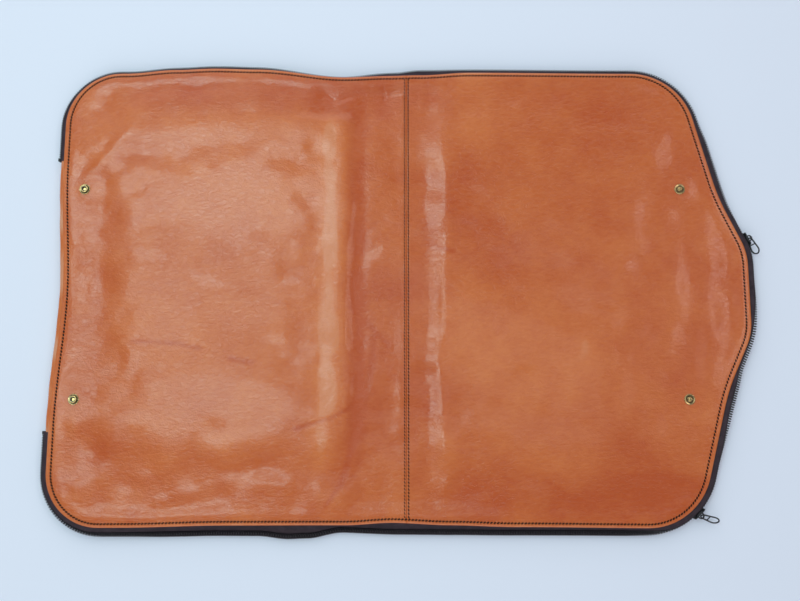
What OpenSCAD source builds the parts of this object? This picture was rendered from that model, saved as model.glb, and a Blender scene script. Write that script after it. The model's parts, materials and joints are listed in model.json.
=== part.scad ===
// A zip-round leather portfolio case, lying open and flat.
// It folds in half about the Y axis: the left half stays down, and the half with the nose
// folds over it, where its two press studs snap into the two sockets.
// Origin: on the surface it lies on, under the fold, at mid height. +X runs towards the nose.

/* [Outline] */
// Half the height of the leather, from the mid-line to the top or bottom edge
half_height = 230; // [200:1:280]
// From the fold to the left edge of the leather
left_reach = 326.5; // [280:0.5:400]
// How far the front of the nose reaches past the left edge when the case is folded
nose_overhang = 42; // [30:0.5:60]
// Half the length of the straight front of the nose
nose_half_flat = 28; // [20:1:36]
// Radius where the front of the nose turns into its flank
nose_radius = 60; // [45:1:75]
// Slope of the nose's flank, in degrees
nose_slope = 25; // [22:0.5:30]
// Height above the mid-line at which flank and shoulder meet
neck_height = 98; // [90:1:110]
// Radius of the hollow between flank and shoulder
neck_radius = 200; // [100:5:240]
// Slope of the shoulder, in degrees
shoulder_slope = 14.8; // [10:0.2:17]
// Radius of the two corners of the nose half
flap_corner_radius = 65; // [50:1:75]
// Radius of the two left corners
left_corner_radius = 54; // [40:1:75]

/* [Leather] */
// Thickness of the front and back covers
leather = 1.4; // [1:0.1:2]
// Room between the covers
cavity = 9.2; // [8.6:0.1:12]
// Distance of the sewn seam in the front cover from the fold
seam_x = 24.6; // [15:0.2:40]
// Split between the two halves at the fold
fold_gap = 0.3; // [0.2:0.1:0.6]
// How far the back cover of the left half runs past the fold
back_lap = 6; // [2:0.5:10]
// Thickness of the spine gusset
gusset_leather = 1.2; // [0.8:0.1:1.6]
// How far the gusset bows out beyond the left edge
gusset_bow = 5; // [4.7:0.1:7]

/* [Zip] */
// Half the length of the left edge that the gusset closes, where the zip ends
zip_end = 137; // [110:1:160]
// Distance of the chain's middle from the leather's edge
chain_reach = 6; // [5.5:0.1:8]
// Thickness of one row of the chain, across the zip
row_thick = 2.2; // [1.8:0.1:2.4]
// Height of one row of the chain
row_height = 2.25; // [2:0.05:2.4]
// Gap between the rows where the zip is closed
closed_gap = 0.3; // [0.2:0.05:0.5]
// Thickness of the tape
tape_thick = 0.6; // [0.4:0.1:0.8]
// Width of tape sewn under the leather
tape_sewn = 6; // [4:0.5:10]
// Gap between the rows in the open mouth
mouth_gap = 5.5; // [5:0.1:6]
// Pitch of the teeth in the mouth
tooth_pitch = 2.3; // [2:0.1:3]
// Depth of the gaps between teeth
tooth_depth = 0.8; // [0.5:0.1:1]
// Length of the crimped stop at each end of the zip
stop_length = 3.2; // [2:0.1:5]

/* [Sliders] */
// Length of a slider along the zip
slider_length = 13.5; // [10:0.5:14]
// Thickness of the slider's plates
plate = 1; // [0.8:0.1:1.2]
// Thickness of the wedge that parts the rows
wedge = 2; // [1.4:0.1:2.2]
// Clearance between the wedge or flanges and the rows
slider_clear = 0.3; // [0.2:0.05:0.4]
// Clearance between the plates and the rows, for the bend of the zip
plate_clear = 0.5; // [0.45:0.05:0.7]
// Place of the upper slider on the arc of the nose, in degrees
nose_slider_angle = 24; // [18:1:25]
// Place of the lower slider on the arc of its corner, in degrees
corner_slider_angle = 45; // [35:1:70]

/* [Pulls] */
// Wire of the pull loops
pull_wire = 1.4; // [1.2:0.1:1.6]
// Length of a pull, between the middles of its wire
pull_length = 17.5; // [14:0.5:22]
// Radius of the pull's inner end
pull_inner_radius = 3.2; // [2.8:0.1:3.6]
// Radius of the pull's outer end
pull_outer_radius = 4.8; // [4:0.1:6]
// Radius of the eye in the slider's crown
eye_radius = 2.1; // [2:0.05:2.6]
// Wall round the eye
eye_wall = 1.1; // [0.8:0.1:1.4]
// Height of the crown
crown_height = 1.4; // [1:0.1:1.6]
// Lie of the upper pull, away from square to the zip, in degrees
nose_pull_swing = -88; // [-90:1:90]
// Lie of the lower pull, away from square to the zip, in degrees
corner_pull_swing = 26; // [-75:1:75]
// Tilt of the upper pull about its length, in degrees
nose_pull_roll = 110; // [104:1:112]
// Tilt of the lower pull about its length, in degrees
corner_pull_roll = 55; // [55:1:75]

/* [Press studs] */
// Distance of the press studs from the left edge of the leather
snap_inset = 23.5; // [15:0.5:35]
// Distance of the press studs from the mid-line
snap_y = 106.4; // [80:0.2:130]
// Radius of the flange of a socket or stud
snap_radius = 5.5; // [5:0.1:7]
// Height of a socket above the leather
socket_height = 3; // [2.8:0.1:3.6]
// Radius of the mouth of a socket
socket_mouth = 2.6; // [2.5:0.1:3]
// Thickness of a stud's flange
stud_flange = 0.8; // [0.5:0.1:1]
// Radius of a stud's head
stud_head = 2.05; // [1.8:0.05:2.1]
// Radius of a stud's neck
stud_neck = 1.7; // [1.5:0.05:1.75]
// Depth to which a stud enters a socket
stud_reach = 2; // [1.6:0.1:2.1]
// Wire of the spring ring in a socket
spring_wire = 0.45; // [0.35:0.05:0.5]
// Radius of the rivet shank through the leather
shank_radius = 1.4; // [1.2:0.05:1.5]
// Clearance round the shank
shank_clear = 0.1; // [0.05:0.05:0.2]
// Thickness of the rivet's cap behind the leather
rivet_cap = 0.8; // [0.5:0.1:1]

/* [Hidden] */

tan_leather = "#b8612f";
tape_grey = "#46404a";
chain_black = "#201c28";
gunmetal = "#505458";
brass = "#c3ad72";

// Facets of turned pieces, other round ones, and wires
turned_facets = 96;
round_facets = 64;
wire_facets = 32;

// Heights
z_mid = leather + cavity / 2;
z_inner = leather + cavity;
z_front = z_inner + leather;

// The outline is arcs, each [centre x, centre y, radius, first angle, last angle] in terms of
// the outward normal, and a hollow arc has a negative radius. Straight edges join the arcs.
function unit(a) = [cos(a), sin(a)];
nose_reach = left_reach + nose_overhang;
nose_centre = [nose_reach - nose_radius, nose_half_flat];
flank_offset = nose_centre * unit(nose_slope) + nose_radius;
neck_point = [(flank_offset - neck_height * sin(nose_slope)) / cos(nose_slope), neck_height];
neck_turn = nose_slope - shoulder_slope;
neck_centre = neck_point + neck_radius / cos(neck_turn / 2) * unit((nose_slope + shoulder_slope) / 2);
corner_y = half_height - flap_corner_radius;
shoulder_offset = neck_point * unit(shoulder_slope);
corner_x = (shoulder_offset - flap_corner_radius - corner_y * sin(shoulder_slope)) / cos(shoulder_slope);
left_x = left_reach - left_corner_radius;
left_y = half_height - left_corner_radius;

corner_arc = [corner_x, corner_y, flap_corner_radius, 90, shoulder_slope];
neck_arc = [neck_centre.x, neck_centre.y, -neck_radius, shoulder_slope, nose_slope];
nose_arc = [nose_centre.x, nose_centre.y, nose_radius, nose_slope, 0];
left_arc = [-left_x, left_y, left_corner_radius, 180, 90];

// Stations [x, y, angle of the outward normal] along the leather's edge
arc_steps = 14;
neck_steps = 4;
nose_steps = 8;
function along_arc(arc, steps = arc_steps) = [
  for (i = [0:steps])
    let (a = arc[3] + (arc[4] - arc[3]) * i / steps)
    [arc[0] + arc[2] * cos(a), arc[1] + arc[2] * sin(a), a]
];
function mirrored(stations) = [
  for (i = [len(stations) - 1:-1:0]) [stations[i].x, -stations[i].y, -stations[i].z]
];
function flat(station) = [station.x, station.y];
function edge_points(stations) = [for (p = stations) flat(p)];

fold_edge = fold_gap / 2;
nose_upper = concat(
  [[fold_edge, half_height, 90]],
  along_arc(corner_arc),
  along_arc(neck_arc, neck_steps),
  along_arc(nose_arc, nose_steps)
);
nose_stations = concat(nose_upper, mirrored(nose_upper));
left_upper = concat(
  [[-left_reach, zip_end + stop_length + slider_clear, 180]],
  along_arc(left_arc),
  [[-fold_edge, half_height, 90]]
);

// Lengths along the edge of the nose half, from the fold at the top round to the fold below
nose_count = len(nose_stations);
function step_length(i) = norm(flat(nose_stations[i]) - flat(nose_stations[i - 1]));
nose_run = [for (i = 0, s = 0; i < nose_count; i = i + 1, s = s + (i < nose_count ? step_length(i) : 0)) s];
nose_length = nose_run[nose_count - 1];
run_x = [for (i = [0:nose_count - 1]) [nose_run[i], nose_stations[i].x]];
run_y = [for (i = [0:nose_count - 1]) [nose_run[i], nose_stations[i].y]];
run_a = [for (i = [0:nose_count - 1]) [nose_run[i], nose_stations[i].z]];
function station(s) = [lookup(s, run_x), lookup(s, run_y), lookup(s, run_a)];

// Where the sliders stand, and where their travel towards each other ends
nose_arc_end = nose_run[len(nose_upper) - 1];
nose_arc_start = nose_run[len(nose_upper) - 1 - nose_steps];
upper_slider_run = nose_arc_end + (nose_arc_start - nose_arc_end) * nose_slider_angle / nose_slope;
lower_arc_start = nose_length - nose_run[1 + arc_steps];
lower_arc_end = nose_length - nose_run[1];
lower_slider_run = lower_arc_start
  + (lower_arc_end - lower_arc_start) * (corner_slider_angle - shoulder_slope) / (90 - shoulder_slope);

// How far each row is lifted off its closed place, along the edge
passing_lift = wedge / 2 + slider_clear - closed_gap / 2;
mouth_lift = (mouth_gap - closed_gap) / 2;
mouth_ramp = 18;
lift_run = [
  [0, 0],
  [upper_slider_run - slider_length / 2, 0],
  [upper_slider_run, passing_lift],
  [nose_arc_end + slider_length, passing_lift],
  [nose_arc_end + slider_length + mouth_ramp, mouth_lift],
  [lower_arc_start - slider_length - mouth_ramp, mouth_lift],
  [lower_arc_start - slider_length, passing_lift],
  [lower_slider_run, passing_lift],
  [lower_slider_run + slider_length / 2, 0],
  [nose_length, 0]
];
function lift(s) = lookup(s, lift_run);
breaks = [for (i = [1:len(lift_run) - 2]) lift_run[i][0]];
mouth_start = upper_slider_run + slider_length / 2 + slider_clear;
mouth_end = lower_slider_run - slider_length / 2 - slider_clear;

// Runs of stations, each [station, lift], for the swept pieces. Stations nearer than same_place are one.
same_place = 0.5;
function merged(a, b) = len(a) == 0 ? b : len(b) == 0 ? a
  : let (m = min(a[0], b[0])) concat([m], merged(after(a, m), after(b, m)));
function after(list, m) = [for (v = list) if (v > m + same_place) v];
function nose_stretch(first, last) = [
  for (s = merged([for (r = nose_run) if (r >= first && r <= last) r],
                  concat([first], [for (b = breaks) if (b > first && b < last) b], [last])))
    [station(s), lift(s)]
];
function left_stretch(below) = [for (p = below ? mirrored(left_upper) : left_upper) [p, 0]];

// Profiles are points [out from the edge, height] for the front row, and are mirrored for the back
function place(st, profile, side) = [
  for (p = side > 0 ? profile : [for (i = [len(profile) - 1:-1:0]) profile[i]])
    [st.x + p.x * cos(st.z), st.y + p.x * sin(st.z), side > 0 ? p.y : 2 * z_mid - p.y]
];
row_seat = 0.1;
row_top = z_mid + closed_gap / 2 + row_height;
tape_hem = 0.8;
tape_turn = 0.3;
function tape_profile(up) =
  let (t = tape_thick, z_row = row_top + up + row_seat)
  [
    [-tape_sewn, z_inner - t], [tape_hem, z_inner - t],
    [chain_reach - row_thick / 2 - tape_turn, z_row], [chain_reach, z_row],
    [chain_reach, z_row + t], [chain_reach - row_thick / 2 - tape_turn, z_row + t],
    [tape_hem, z_inner], [-tape_sewn, z_inner]
  ];
function row_profile(up, cut = 0) = [
  [chain_reach - row_thick / 2, row_top - row_height + up + cut],
  [chain_reach + row_thick / 2 - cut, row_top - row_height + up + cut],
  [chain_reach + row_thick / 2 - cut, row_top + up],
  [chain_reach - row_thick / 2, row_top + up]
];

// A solid through rings of points, capped at its first and last ring or closed on itself
module through(rings, closed = false) {
  n = len(rings);
  m = len(rings[0]);
  sides = [
    for (i = [0:closed ? n - 1 : n - 2], j = [0:m - 1], half = [0, 1])
      let (k = (j + 1) % m, next = (i + 1) % n)
      half == 0 ? [i * m + j, i * m + k, next * m + k]
                : [i * m + j, next * m + k, next * m + j]
  ];
  first = [for (j = [m - 1:-1:0]) j];
  last = [for (j = [0:m - 1]) (n - 1) * m + j];
  polyhedron([for (r = rings) each r], closed ? sides : concat(sides, [first, last]));
}
module tape(stretch, side) {
  through([for (q = stretch) place(q[0], tape_profile(q[1]), side)]);
}
module row(stretch, side) {
  through([for (q = stretch) place(q[0], row_profile(q[1]), side)]);
}
module toothed_row(side) {
  halves = 2 * floor((mouth_end - mouth_start) / tooth_pitch);
  through([
    for (i = [0:halves])
      let (s = mouth_start + (mouth_end - mouth_start) * i / halves)
      place(station(s), row_profile(lift(s), i % 2 == 0 ? 0 : tooth_depth), side)
  ]);
}

// Leather covers
module left_sheet(last_x) {
  corner = along_arc(left_arc);
  polygon(concat(
    edge_points(corner), [[last_x, half_height], [last_x, -half_height]], edge_points(mirrored(corner))
  ));
}
module nose_sheet(first_x) {
  rest = [for (i = [1:nose_count - 2]) nose_stations[i]];
  polygon(concat([[first_x, half_height]], edge_points(rest), [[first_x, -half_height]]));
}
module at_snaps(x) {
  for (y = [-snap_y, snap_y])
    translate([x, y, 0]) children();
}
module shank_holes(x) {
  at_snaps(x)
    translate([0, 0, z_inner - leather])
      cylinder(r = shank_radius + shank_clear, h = 3 * leather, $fn = round_facets);
}
module front_cover_left() {
  color(tan_leather)
    difference() {
      translate([0, 0, z_inner]) linear_extrude(leather) left_sheet(-fold_edge);
      shank_holes(-snap_x);
    }
}
module back_cover_left() {
  color(tan_leather) linear_extrude(leather) left_sheet(back_lap);
}
module front_fold_band() {
  color(tan_leather)
    translate([fold_edge, -half_height, z_inner])
      cube([seam_x - fold_edge, 2 * half_height, leather]);
}
module front_cover_nose() {
  color(tan_leather)
    difference() {
      translate([0, 0, z_inner]) linear_extrude(leather) nose_sheet(seam_x);
      shank_holes(snap_x);
    }
}
module back_cover_nose() {
  color(tan_leather) linear_extrude(leather) nose_sheet(back_lap + fold_gap);
}

// Spine gusset: a bowed strip with a flange sewn under each cover
gusset_flange = tape_sewn;
gusset_arc = cavity / 2;
bow_steps = 10;
function bow(radius, from, to) = [
  for (i = [0:bow_steps])
    let (a = from + (to - from) * i / bow_steps)
    [gusset_arc - gusset_bow + radius * cos(a), z_mid + radius * sin(a)]
];
module spine_gusset() {
  inner = gusset_arc - gusset_leather;
  color(tan_leather)
    translate([-left_reach, zip_end, 0])
      rotate([90, 0, 0])
        linear_extrude(2 * zip_end)
          polygon(concat(
            [[gusset_flange, z_inner]], bow(gusset_arc, 90, 270), [[gusset_flange, leather]],
            [[gusset_flange, leather + gusset_leather]], bow(inner, 270, 90),
            [[gusset_flange, z_inner - gusset_leather]]
          ));
}

// Zip tapes, closed chain, toothed rows of the open mouth, and end stops
module zip_tape_front_left() {
  color(tape_grey) for (below = [false, true]) tape(left_stretch(below), 1);
}
module zip_tape_back_left() {
  color(tape_grey) for (below = [false, true]) tape(left_stretch(below), -1);
}
module zip_chain_front_left() {
  color(chain_black) for (below = [false, true]) row(left_stretch(below), 1);
}
module zip_chain_back_left() {
  color(chain_black) for (below = [false, true]) row(left_stretch(below), -1);
}
module zip_tape_front_nose() {
  color(tape_grey) tape(nose_stretch(0, nose_length), 1);
}
module zip_tape_back_nose() {
  color(tape_grey) tape(nose_stretch(0, nose_length), -1);
}
module closed_rows(side) {
  row(nose_stretch(0, mouth_start), side);
  row(nose_stretch(mouth_end, nose_length), side);
}
module zip_chain_front_nose() {
  color(chain_black) closed_rows(1);
}
module zip_chain_back_nose() {
  color(chain_black) closed_rows(-1);
}
module mouth_teeth_front() {
  color(chain_black) toothed_row(1);
}
module mouth_teeth_back() {
  color(chain_black) toothed_row(-1);
}
module zip_end_stops() {
  stop_height = 2 * (row_top - z_mid);
  color(gunmetal)
    for (side = [-1, 1])
      translate([-left_reach - chain_reach, side * (zip_end + slider_clear / 2 + stop_length / 2), z_mid])
        cube([row_thick, stop_length, stop_height], center = true);
}

// Sliders. Local frame: x out from the leather's edge, y towards the open mouth, z up from mid height.
tape_clear = 0.1;
eye_clear = 0.1;
channel_half = row_top - z_mid + passing_lift + slider_clear;
slider_half = channel_half + plate;
inner_plate_half = row_top - z_mid - tape_clear;
outer_face = chain_reach + row_thick / 2 + plate_clear;
inner_face = chain_reach - row_thick / 2 - plate_clear;
flange_in = outer_face - plate;
eye_out = eye_radius + eye_clear;
pivot_out = outer_face + plate + eye_out;
wedge_length = slider_length / 3;
module shield(half, thick) {
  taper = half / 8;
  end = slider_length / 2;
  rotate([90, 0, 90])
    linear_extrude(thick)
      polygon([
        [-end, -half + 2 * taper], [-end + 2 * taper, -half + taper], [end - 3 * taper, -half],
        [end, -half + 3 * taper], [end, half - 3 * taper], [end - 3 * taper, half],
        [-end + 2 * taper, half - taper], [-end, half - 2 * taper]
      ]);
}
module crown() {
  outer = eye_radius + eye_wall;
  translate([outer_face + plate, 0, -crown_height / 2])
    linear_extrude(crown_height)
      difference() {
        union() {
          translate([eye_out, 0]) circle(outer, $fn = round_facets);
          translate([0, -outer]) square([eye_out, 2 * outer]);
        }
        translate([eye_out, 0]) circle(eye_radius, $fn = round_facets);
      }
}
module slider() {
  flange_depth = outer_face - flange_in;
  color(gunmetal)
    union() {
      translate([outer_face, 0, 0]) shield(slider_half, plate);
      translate([inner_face - plate, 0, 0]) shield(inner_plate_half, plate);
      translate([inner_face - plate / 2, slider_length / 2 - wedge_length - plate, -wedge / 2])
        cube([outer_face - inner_face + plate, wedge_length, wedge]);
      for (side = [-1, 1])
        translate([flange_in + flange_depth / 2 + plate / 4, 0, side * (channel_half + plate / 4)])
          cube([flange_depth + plate / 2, slider_length / 2, plate / 2], center = true);
      crown();
    }
}

// Pulls: a closed loop of wire with a crossbar, swinging in the crown's eye
pull_near = pull_inner_radius;
pull_far = pull_length - pull_outer_radius;
pull_lean = asin((pull_outer_radius - pull_inner_radius) / (pull_far - pull_near));
crossbar_share = 0.45;
crossbar_radius = 0.4 * pull_wire;
inner_bend_steps = 12;
outer_bend_steps = 16;
crossbar_x = pull_near + (pull_far - pull_near) * crossbar_share;
crossbar_half = pull_inner_radius / cos(pull_lean) + (crossbar_x - pull_near) * tan(pull_lean);
wire_sides = 10;
function wire_ring(centre, radius, a) = [
  for (k = [0:wire_sides - 1])
    let (t = 360 * k / wire_sides, out = radius + pull_wire / 2 * cos(t))
    [centre + out * cos(a), out * sin(a), pull_wire / 2 * sin(t)]
];
function wire_bend(centre, radius, from, to, steps) = [
  for (i = [0:steps]) wire_ring(centre, radius, from + (to - from) * i / steps)
];
module pull() {
  color(gunmetal)
    union() {
      through(concat(
        wire_bend(pull_near, pull_inner_radius, 90 + pull_lean, 270 - pull_lean, inner_bend_steps),
        wire_bend(pull_far, pull_outer_radius, -90 - pull_lean, 90 + pull_lean, outer_bend_steps)
      ), closed = true);
      translate([crossbar_x, crossbar_half, 0])
        rotate([90, 0, 0]) cylinder(r = crossbar_radius, h = 2 * crossbar_half, $fn = wire_facets);
    }
}

// Places of the sliders: on their arcs, with the mouth of each towards the other
module on_nose() {
  translate([nose_arc[0], nose_arc[1], z_mid])
    rotate([0, 0, nose_slider_angle])
      translate([nose_radius, 0, 0]) mirror([0, 1, 0]) children();
}
module on_corner() {
  translate([corner_arc[0], -corner_arc[1], z_mid])
    rotate([0, 0, -corner_slider_angle])
      translate([flap_corner_radius, 0, 0]) children();
}
module swung(angle, roll) {
  translate([pivot_out, 0, 0]) rotate([0, 0, angle]) rotate([roll, 0, 0]) children();
}
module nose_slider() {
  on_nose() slider();
}
module corner_slider() {
  on_corner() slider();
}
module nose_pull() {
  on_nose() swung(-nose_pull_swing, nose_pull_roll) pull();
}
module corner_pull() {
  on_corner() swung(corner_pull_swing, corner_pull_roll) pull();
}

// Press studs: sockets with spring rings on the left, studs on the nose half, rivets behind both
snap_x = left_reach - snap_inset;
socket_floor = 0.6;
socket_rim = 0.6;
socket_wall = 0.6;
turned_edge = 0.4;
stud_head_depth = 1;
stud_bore = 0.5;
cap_inset = 0.5;
spring_opening = 40;
groove_radius = socket_mouth + spring_wire;
spring_z = z_front + socket_height - socket_rim - spring_wire;
module snap_sockets() {
  top = socket_height;
  barrel = groove_radius + socket_wall;
  color(brass)
    at_snaps(-snap_x)
      translate([0, 0, z_front])
        rotate_extrude($fn = turned_facets)
          polygon([
            [shank_radius + shank_clear, 0], [snap_radius - turned_edge, 0], [snap_radius, turned_edge],
            [snap_radius - turned_edge, 2 * turned_edge], [barrel + turned_edge, 3 * turned_edge],
            [barrel, 4 * turned_edge], [barrel, top - turned_edge], [barrel - turned_edge, top],
            [socket_mouth + turned_edge / 2, top], [socket_mouth, top - turned_edge / 2],
            [socket_mouth, top - socket_rim], [groove_radius, top - socket_rim],
            [groove_radius, socket_floor], [shank_radius + shank_clear, socket_floor]
          ]);
}
module socket_springs() {
  color(gunmetal)
    at_snaps(-snap_x)
      translate([0, 0, spring_z])
        rotate([0, 0, spring_opening / 2])
          rotate_extrude(angle = 360 - spring_opening, $fn = turned_facets)
            translate([socket_mouth, 0]) circle(spring_wire / 2, $fn = wire_facets);
}
module rivet(x, grip) {
  at_snaps(x)
    translate([0, 0, z_inner - rivet_cap])
      union() {
        cylinder(r = snap_radius - cap_inset, h = rivet_cap, $fn = round_facets);
        cylinder(r = shank_radius, h = rivet_cap + leather + grip, $fn = round_facets);
      }
}
module socket_rivets() {
  color(brass) rivet(-snap_x, socket_floor);
}
module snap_studs() {
  tip = stud_flange + stud_reach;
  color(brass)
    at_snaps(snap_x)
      translate([0, 0, z_front])
        rotate_extrude($fn = turned_facets)
          polygon([
            [shank_radius + shank_clear, 0], [snap_radius - turned_edge, 0], [snap_radius, turned_edge],
            [snap_radius - turned_edge, stud_flange], [stud_neck + turned_edge, stud_flange],
            [stud_neck, stud_flange + turned_edge], [stud_neck, tip - stud_head_depth],
            [stud_head, tip - stud_head_depth + turned_edge], [stud_head - turned_edge, tip],
            [stud_bore, tip], [stud_bore, stud_flange], [shank_radius + shank_clear, stud_flange]
          ]);
}
module stud_rivets() {
  color(brass) rivet(snap_x, stud_flange / 2);
}

front_cover_left();
back_cover_left();
spine_gusset();
zip_tape_front_left();
zip_tape_back_left();
zip_chain_front_left();
zip_chain_back_left();
zip_end_stops();
snap_sockets();
socket_springs();
socket_rivets();
front_fold_band();
front_cover_nose();
back_cover_nose();
zip_tape_front_nose();
zip_tape_back_nose();
zip_chain_front_nose();
zip_chain_back_nose();
mouth_teeth_front();
mouth_teeth_back();
snap_studs();
stud_rivets();
nose_slider();
nose_pull();
corner_slider();
corner_pull();
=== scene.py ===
import json
import math

import bpy
import numpy as np
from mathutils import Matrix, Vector
from mathutils.kdtree import KDTree


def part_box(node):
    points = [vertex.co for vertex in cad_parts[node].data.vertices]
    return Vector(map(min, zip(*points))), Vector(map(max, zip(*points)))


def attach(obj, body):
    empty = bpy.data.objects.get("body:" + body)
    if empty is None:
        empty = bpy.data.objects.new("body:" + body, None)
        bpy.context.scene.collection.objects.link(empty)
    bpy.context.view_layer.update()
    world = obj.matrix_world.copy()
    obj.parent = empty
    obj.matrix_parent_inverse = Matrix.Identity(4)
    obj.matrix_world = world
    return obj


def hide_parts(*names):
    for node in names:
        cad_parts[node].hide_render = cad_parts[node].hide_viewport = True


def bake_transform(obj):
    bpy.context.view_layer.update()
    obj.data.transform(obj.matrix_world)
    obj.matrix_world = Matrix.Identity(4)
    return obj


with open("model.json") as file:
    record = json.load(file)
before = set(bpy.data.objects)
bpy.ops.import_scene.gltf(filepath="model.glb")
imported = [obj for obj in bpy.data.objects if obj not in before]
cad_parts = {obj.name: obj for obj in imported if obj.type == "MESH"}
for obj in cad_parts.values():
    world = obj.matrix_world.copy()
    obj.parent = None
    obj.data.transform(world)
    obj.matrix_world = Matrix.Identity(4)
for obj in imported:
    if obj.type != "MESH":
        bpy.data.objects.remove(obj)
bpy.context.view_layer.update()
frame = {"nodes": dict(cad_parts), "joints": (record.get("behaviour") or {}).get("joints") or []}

# The lay of the case. It lies open on a table, soft and a little used, so its edges wave.
# The outline is the cut of the leather, arcs joined by straight edges, in millimetres,
# and lay() moves any point of it to where the soft case really lies.
MM = 0.001
scene = bpy.context.scene


def node_box(name):
    """Lowest and highest corner of a CAD node, in millimetres."""
    low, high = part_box(name)
    return np.array(low) / MM, np.array(high) / MM


left_low, left_high = node_box("front_cover_left")
nose_low, nose_high = node_box("front_cover_nose")
left_reach = -left_low[0]
nose_reach = nose_high[0]
half_height = left_high[1]
seam_x = nose_low[0]
inner_z = left_low[2]
front_z = left_high[2]
leather_thick = front_z - inner_z
middle_z = front_z / 2

left_corner = 54.0
flap_corner = 65.0
nose_radius = 60.0
nose_half_flat = 28.0
nose_slope = 25.0
neck_height = 98.0
neck_radius = 200.0
shoulder_slope = 14.8
outline_step = 1.0


def unit(degrees):
    return np.array([math.cos(math.radians(degrees)), math.sin(math.radians(degrees))])


def arc(centre, radius, first, last):
    """Stations [x, y, angle of the outward normal] along an arc; a hollow one has a negative radius."""
    a = np.radians(np.linspace(first, last, 40))
    return np.column_stack([centre[0] + radius * np.cos(a), centre[1] + radius * np.sin(a), a])


flank = unit(nose_slope)
shoulder = unit(shoulder_slope)
nose_centre = np.array([nose_reach - nose_radius, nose_half_flat])
neck_x = (nose_centre @ flank + nose_radius - neck_height * flank[1]) / flank[0]
neck_point = np.array([neck_x, neck_height])
neck_turn = math.radians(nose_slope - shoulder_slope)
neck_centre = neck_point + neck_radius / math.cos(neck_turn / 2) * unit((nose_slope + shoulder_slope) / 2)
corner_y = half_height - flap_corner
corner_x = (neck_point @ shoulder - flap_corner - corner_y * shoulder[1]) / shoulder[0]
flap_centre = np.array([corner_x, corner_y])
left_centre = np.array([left_corner - left_reach, half_height - left_corner])

upper_edge = np.vstack([
    [-left_reach, 0, math.pi],
    arc(left_centre, left_corner, 180, 90),
    arc(flap_centre, flap_corner, 90, shoulder_slope),
    arc(neck_centre, -neck_radius, shoulder_slope, nose_slope),
    arc(nose_centre, nose_radius, nose_slope, 0),
    [nose_reach, 0, 0],
])
lower_edge = upper_edge[-2::-1] * [1, -1, -1]
edge_corners = np.vstack([upper_edge, lower_edge])
edge_lengths = np.concatenate([[0], np.cumsum(np.hypot(*np.diff(edge_corners[:, :2], axis=0).T))])
edge_total = edge_lengths[-1]


def edge_at(s):
    """X, Y and normal angle of the leather's edge, s along it from the middle of the left side."""
    return [np.interp(s, edge_lengths, edge_corners[:, k]) for k in range(3)]


tree_runs = np.arange(0, edge_total, outline_step)
tree_x, tree_y, tree_a = edge_at(tree_runs)
edge_tree = KDTree(len(tree_runs))
for i in range(len(tree_runs)):
    edge_tree.insert((tree_x[i], tree_y[i], 0), i)
edge_tree.balance()


def run_near(x, y):
    """How far along the edge the place nearest to (x, y) is."""
    return tree_runs[edge_tree.find((x, y, 0))[1]]


def edge_distance(x, y):
    """How far inside the leather's edge each point is."""
    near = np.array([edge_tree.find((px, py, 0))[1] for px, py in zip(x.ravel(), y.ravel())]).reshape(x.shape)
    return (tree_x[near] - x) * np.cos(tree_a[near]) + (tree_y[near] - y) * np.sin(tree_a[near])


def eased(t):
    t = np.clip(t, 0, 1)
    return t * t * (3 - 2 * t)


def through_knots(at, knots):
    """A smooth curve through knots [(place, value), ...]."""
    p, v = np.array(knots, float).T
    i = np.clip(np.searchsorted(p, at) - 1, 0, len(p) - 2)
    return v[i] + (v[i + 1] - v[i]) * eased((at - p[i]) / (p[i + 1] - p[i]))


# How far the top and bottom edges lie above their cut, along X, and the left edge right of it, along Y
top_lay = [(-330, -1.5), (-265, 0.5), (-215, 4.5), (-175, 6), (-130, 5), (-40, -3.5), (8, -2), (40, -1.2),
           (90, 1.5), (260, 0.3), (330, 0)]
bottom_lay = [(-330, 0), (-250, 0.7), (-150, 2.8), (-35, 3), (10, 5.3), (66, 3), (130, 1.3), (300, 0)]
left_lay = [(-180, 0), (-130, 0), (0, 6.5), (130, 0), (180, 0)]
left_lay_reach = 170.0


def lay(x, y):
    """Where a point of the cut lies."""
    share = np.clip((y + half_height) / (2 * half_height), 0, 1)
    rise = through_knots(x, top_lay) * share + through_knots(x, bottom_lay) * (1 - share)
    shift = through_knots(y, left_lay) * eased(-x / left_lay_reach - 0.9)
    return x + shift, y + rise


# Front cover, left piece: one panel of glazed leather from the left edge, past the fold, to the seam.
# It is cut, sewn along its edge, and lies over a stiff board, whose outline shows as a low step;
# between the two boards the soft fold sinks and creases.
pinned_y = 106.4
socket_low, socket_high = node_box("snap_sockets")
stud_low, stud_high = node_box("snap_studs")
socket_places = [((socket_low[0] + socket_high[0]) / 2, y) for y in (-pinned_y, pinned_y)]
stud_places = [((stud_low[0] + stud_high[0]) / 2, y) for y in (-pinned_y, pinned_y)]

# Boards under the leather: step up, then the left and right edge as [(y, x), ...] and the bottom and
# top edge as [(x, y), ...], each with the width of its step
boards = [
    (1.76, [
        ([(-180, -262), (-92, -268), (-9, -273), (101, -270), (180, -262)], 40),
        ([(-180, -40), (-150, -35), (180, -34)], 18),
        ([(-260, -160), (-185, -164), (-120, -155), (-60, -152)], 30),
        ([(-258, 174), (-188, 176), (-106, 180), (-41, 188)], 12),
    ]),
    (1.02, [
        ([(-180, 56), (-130, 52), (-88, 47), (-55, 47), (-35, 56), (68, 59), (180, 57)], 18),
        ([(-120, 300), (-8, 309), (64, 303), (120, 290)], 22),
        ([(60, -172), (310, -168)], 30),
        ([(60, 176), (310, 168)], 28),
    ]),
]
# How far the soft leather settles below its sewn edge
settled = -0.72
# The soft fold between them: x from, x to, how far it sinks, width of its slopes
fold_sink = (-28, 55, -2.2, 24)
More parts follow.
